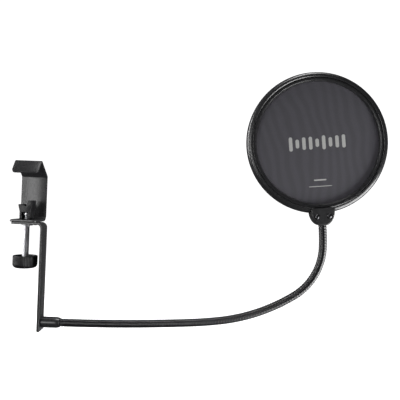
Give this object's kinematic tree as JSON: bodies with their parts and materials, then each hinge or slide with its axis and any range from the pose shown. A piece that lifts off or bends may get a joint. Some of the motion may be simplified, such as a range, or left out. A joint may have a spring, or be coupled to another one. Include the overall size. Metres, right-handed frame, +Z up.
{
  "type": "pop filter",
  "caption": "Round mesh pop filter on a bendable gooseneck arm, with a steel screw clamp for a microphone boom or stand tube.",
  "frame": {"origin": "centre of the clamp's back plate, on its inner face", "axes": "+X along the arm from the clamp to the filter, +Z up along the clamp screw, -Y to the front, out of the clamp's mouth"},
  "size_m": [0.3418, 0.0305, 0.2478],
  "materials": {
    "black_steel": "gloss black powder coat over bent steel strip",
    "chrome": "bright plated, threaded",
    "zinc_steel": "zinc plated",
    "black_screw": "black oxide",
    "knob_plastic": "moulded, fine satin grain, fluted",
    "pad_plastic": "moulded, fine satin grain",
    "hub_plastic": "moulded, satin",
    "rim_plastic": "polished black moulding",
    "neck_wire": "black enamelled steel wire, wound",
    "mesh_cloth": "fine open-weave nylon, dark grey"
  },
  "bodies": {
    "clamp": {"clamp_frame": "black_steel", "neck_bracket": "black_steel", "thread_bush": "zinc_steel", "bracket_rivet": "zinc_steel", "neck_screw": "black_screw", "lower_ferrule": "black_steel", "gooseneck_1": "neck_wire"},
    "screw_carrier": {"swivel_button": "chrome"},
    "screw": {"spindle": "chrome", "thumb_knob": "knob_plastic"},
    "pad": {"pressure_pad": "pad_plastic"},
    "neck_2": {"gooseneck_2": "neck_wire"},
    "neck_3": {"gooseneck_3": "neck_wire"},
    "neck_4": {"gooseneck_4": "neck_wire"},
    "neck_5": {"gooseneck_5": "neck_wire"},
    "neck_6": {"gooseneck_6": "neck_wire"},
    "filter": {"gooseneck_7": "neck_wire", "upper_collar": "zinc_steel", "hub_front": "hub_plastic", "hub_rear": "hub_plastic", "hub_screw_left": "black_screw", "hub_screw_right": "black_screw", "outer_rim": "rim_plastic", "front_hoop": "rim_plastic", "rear_hoop": "rim_plastic", "front_mesh": "mesh_cloth", "rear_mesh": "mesh_cloth"}
  },
  "joints": [
    {"name": "screw_feed", "type": "slide", "parent": "clamp", "child": "screw_carrier", "axis": [0, 0, 1], "range_m": [0, 0.023]},
    {"name": "screw_turn", "type": "hinge", "parent": "screw_carrier", "child": "screw", "pos_m": [0, -0.017, -0.06], "axis": [0, 0, 1], "range_deg": [0, 8280]},
    {"name": "pad_swivel", "type": "hinge", "parent": "screw_carrier", "child": "pad", "pos_m": [0, -0.017, -0.015], "axis": [0, 0, 1], "continuous": true},
    {"name": "neck_lift_1", "type": "hinge", "parent": "clamp", "child": "neck_2", "pos_m": [0.0544, -0.017, -0.11388], "axis": [0, -1, 0], "range_deg": [-25, 20]},
    {"name": "neck_swing_1", "type": "hinge", "parent": "neck_2", "child": "neck_3", "pos_m": [0.10438, -0.017, -0.1125], "axis": [-0.0427, 0, 0.9991], "range_deg": [-25, 25]},
    {"name": "neck_lift_2", "type": "hinge", "parent": "neck_3", "child": "neck_4", "pos_m": [0.15429, -0.017, -0.1096], "axis": [0, -1, 0], "range_deg": [-25, 20]},
    {"name": "neck_swing_2", "type": "hinge", "parent": "neck_4", "child": "neck_5", "pos_m": [0.2036, -0.017, -0.10188], "axis": [-0.2757, 0, 0.9612], "range_deg": [-25, 25]},
    {"name": "neck_lift_3", "type": "hinge", "parent": "neck_5", "child": "neck_6", "pos_m": [0.24891, -0.017, -0.08117], "axis": [0, -1, 0], "range_deg": [-25, 20]},
    {"name": "neck_swing_3", "type": "hinge", "parent": "neck_6", "child": "filter", "pos_m": [0.27356, -0.017, -0.04177], "axis": [-0.9929, 0, 0.1192], "range_deg": [-25, 25]}
  ],
  "couplings": [
    {"joint": "screw_turn", "follows": "screw_feed", "rad_per_m": 6283.2}
  ]
}
